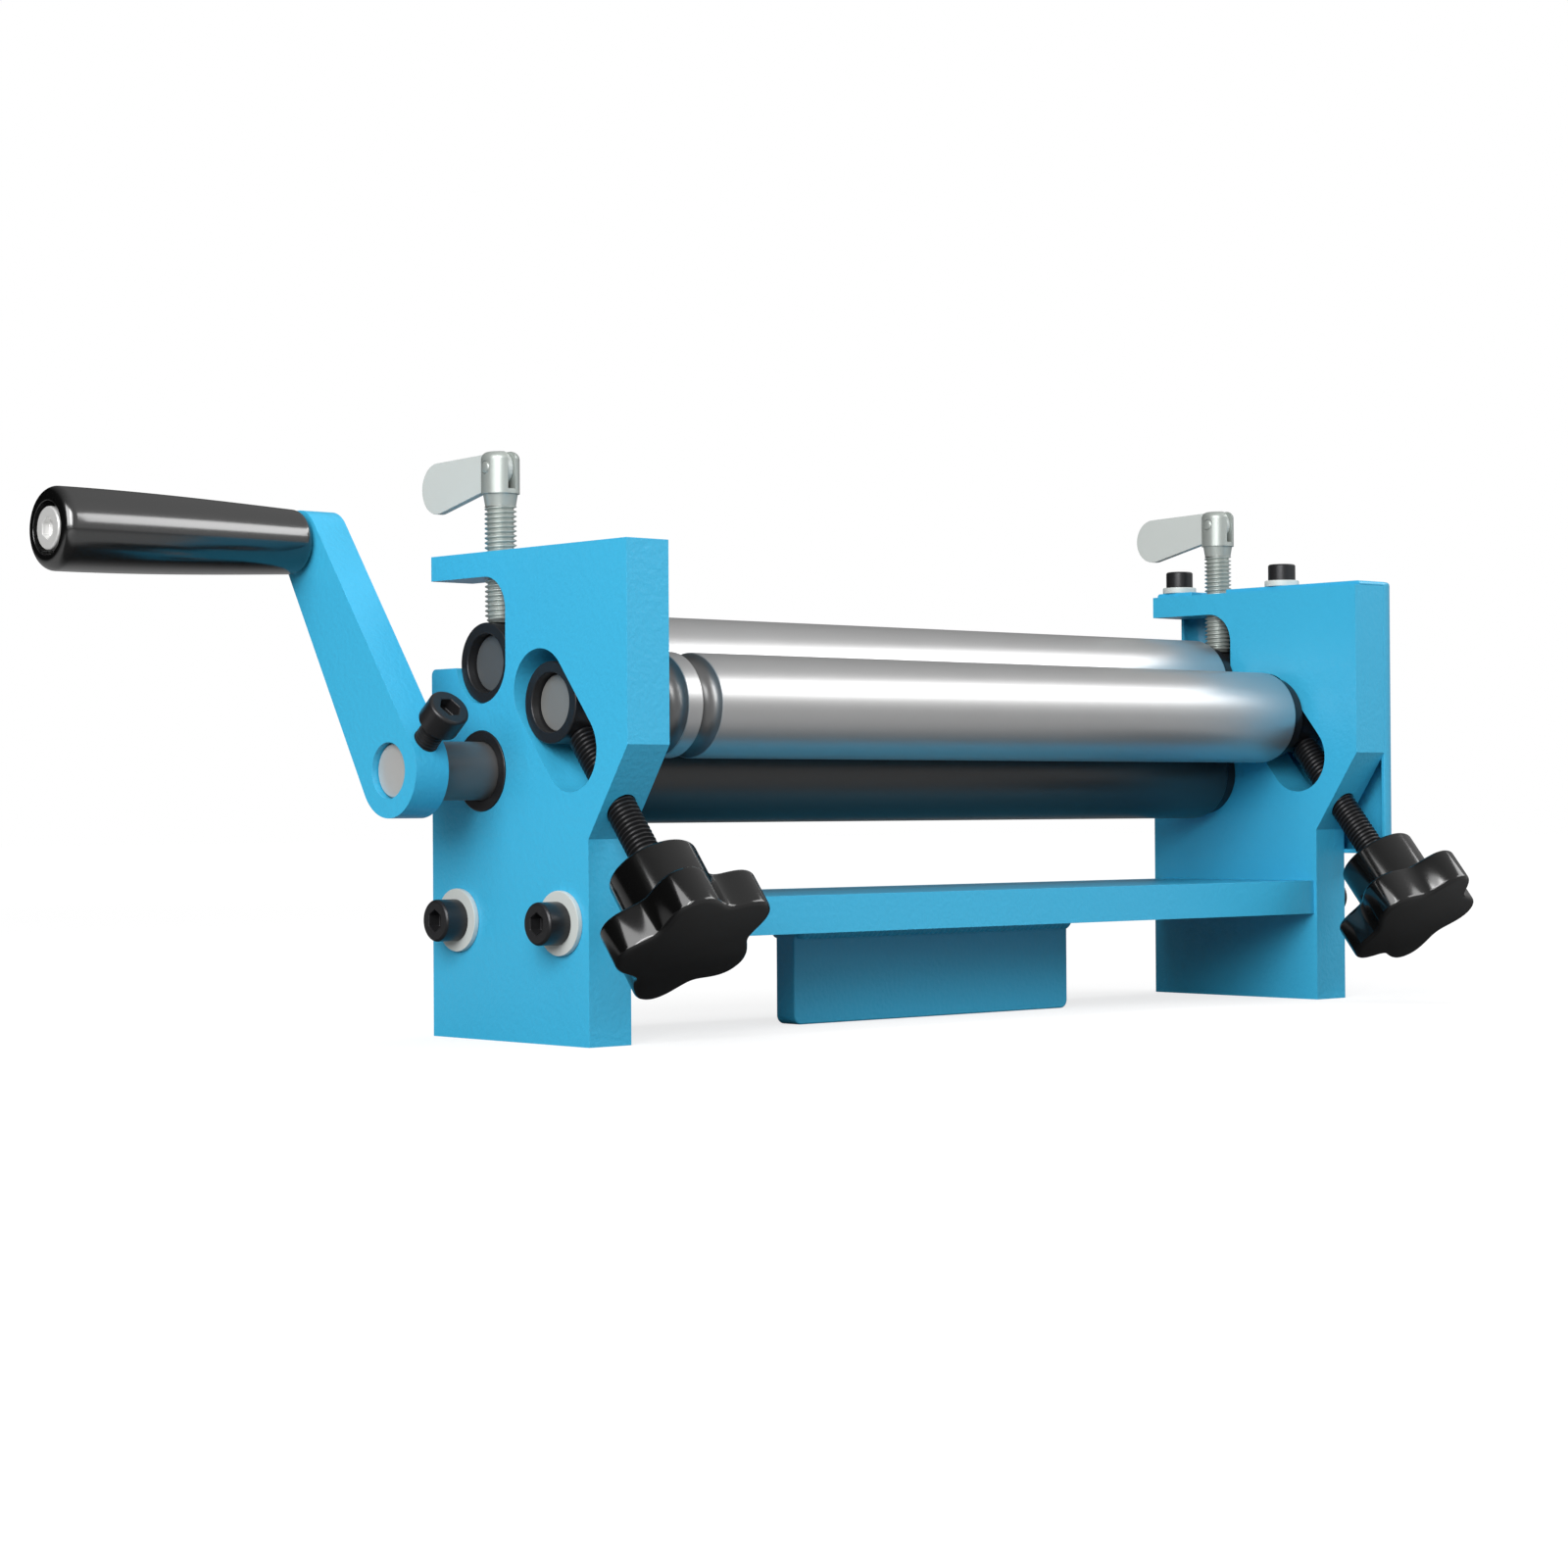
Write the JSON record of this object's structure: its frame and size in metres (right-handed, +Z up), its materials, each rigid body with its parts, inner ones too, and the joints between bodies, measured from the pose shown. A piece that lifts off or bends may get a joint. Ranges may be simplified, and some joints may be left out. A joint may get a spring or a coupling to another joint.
{
  "type": "slip roll machine",
  "caption": "Bench slip roll with geared feed rolls, a bending roll on star screws, a hand crank, wing screws and a tab for a vise.",
  "frame": {"origin": "centre of the vise tab's underside, level with the two feet", "axes": "+X along the rolls to the gear end, +Y to the back, +Z up"},
  "size_m": [0.4923, 0.1722, 0.1813],
  "materials": {
    "blue_paint": "blue paint with a fine orange peel",
    "roll_steel": "ground and polished steel",
    "dark_steel": "ground steel, oiled and dark",
    "black_oxide": "black oxide steel",
    "zinc": "satin zinc plate",
    "gloss_black": "polished black plastic"
  },
  "bodies": {
    "frame": {"left_end_plate": "blue_paint", "right_end_plate": "blue_paint", "base_plate": "blue_paint", "vise_tab": "blue_paint", "base_screws": "black_oxide", "base_washers": "zinc", "lower_bush_left": "black_oxide", "lower_bush_right": "black_oxide", "gear_cover": "blue_paint", "cover_screws": "black_oxide", "cover_washers": "zinc"},
    "lower_drive": {"lower_roll": "dark_steel", "lower_gear": "black_oxide", "lower_gear_key": "dark_steel", "lower_gear_clip": "dark_steel", "crank_arm": "blue_paint", "crank_set_screw": "black_oxide", "handle_bolt": "zinc"},
    "grip": {"handle_grip": "gloss_black"},
    "upper_carriage": {"upper_bush_left": "black_oxide", "upper_bush_right": "black_oxide"},
    "upper_drive": {"upper_roll": "roll_steel", "upper_gear": "black_oxide", "upper_gear_key": "dark_steel", "upper_gear_clip": "dark_steel"},
    "wing_left": {"wing_screw_left": "zinc", "wing_pin_left": "zinc"},
    "wing_right": {"wing_screw_right": "zinc", "wing_pin_right": "zinc"},
    "paddle_left": {"wing_paddle_left": "zinc"},
    "paddle_right": {"wing_paddle_right": "zinc"},
    "bend_carriage": {"bend_bush_left": "black_oxide", "bend_bush_right": "black_oxide"},
    "bend_drive": {"bend_roll": "roll_steel"},
    "star_left": {"star_screw_left": "black_oxide", "star_knob_left": "gloss_black"},
    "star_right": {"star_screw_right": "black_oxide", "star_knob_right": "gloss_black"}
  },
  "joints": [
    {"name": "crank_turn", "type": "hinge", "parent": "frame", "child": "lower_drive", "pos_m": [0, 0.0144, 0.0826], "axis": [1, 0, 0], "continuous": true},
    {"name": "grip_spin", "type": "hinge", "parent": "lower_drive", "child": "grip", "pos_m": [-0.25, 0.06187, 0.15432], "axis": [1, 0, 0], "continuous": true},
    {"name": "upper_lift", "type": "slide", "parent": "frame", "child": "upper_carriage", "axis": [0, 0, 1], "range_m": [0, 0.013]},
    {"name": "upper_turn", "type": "hinge", "parent": "upper_carriage", "child": "upper_drive", "pos_m": [0, 0.0144, 0.1159], "axis": [1, 0, 0], "continuous": true},
    {"name": "bend_slide", "type": "slide", "parent": "frame", "child": "bend_carriage", "axis": [0, 0.6293, 0.7771], "range_m": [-0.0164, 0.0018]},
    {"name": "bend_turn", "type": "hinge", "parent": "bend_carriage", "child": "bend_drive", "pos_m": [0, -0.01805, 0.10279], "axis": [1, 0, 0], "continuous": true},
    {"name": "wing_left_turn", "type": "hinge", "parent": "upper_carriage", "child": "wing_left", "pos_m": [-0.1685, 0.0144, 0.15], "axis": [0, 0, 1], "range_deg": [0, 3120.5]},
    {"name": "paddle_left_flip", "type": "hinge", "parent": "wing_left", "child": "paddle_left", "pos_m": [-0.1685, 0.0144, 0.1763], "axis": [1, 0, 0], "range_deg": [0, 194.4]},
    {"name": "star_left_turn", "type": "hinge", "parent": "bend_carriage", "child": "star_left", "pos_m": [-0.1685, -0.01805, 0.10279], "axis": [0, 0.6293, 0.7771], "range_deg": [-3936.5, 432.5]},
    {"name": "wing_right_turn", "type": "hinge", "parent": "upper_carriage", "child": "wing_right", "pos_m": [0.1685, 0.0144, 0.15], "axis": [0, 0, 1], "range_deg": [0, 3120.5]},
    {"name": "paddle_right_flip", "type": "hinge", "parent": "wing_right", "child": "paddle_right", "pos_m": [0.1685, 0.0144, 0.1763], "axis": [1, 0, 0], "range_deg": [0, 194.4]},
    {"name": "star_right_turn", "type": "hinge", "parent": "bend_carriage", "child": "star_right", "pos_m": [0.1685, -0.01805, 0.10279], "axis": [0, 0.6293, 0.7771], "range_deg": [-3936.5, 432.5]}
  ],
  "couplings": [
    {"joint": "upper_turn", "follows": "crank_turn", "ratio": -1},
    {"joint": "wing_left_turn", "follows": "upper_lift", "rad_per_m": 4188.8},
    {"joint": "star_left_turn", "follows": "bend_slide", "rad_per_m": 4188.8},
    {"joint": "wing_right_turn", "follows": "upper_lift", "rad_per_m": 4188.8},
    {"joint": "star_right_turn", "follows": "bend_slide", "rad_per_m": 4188.8}
  ]
}
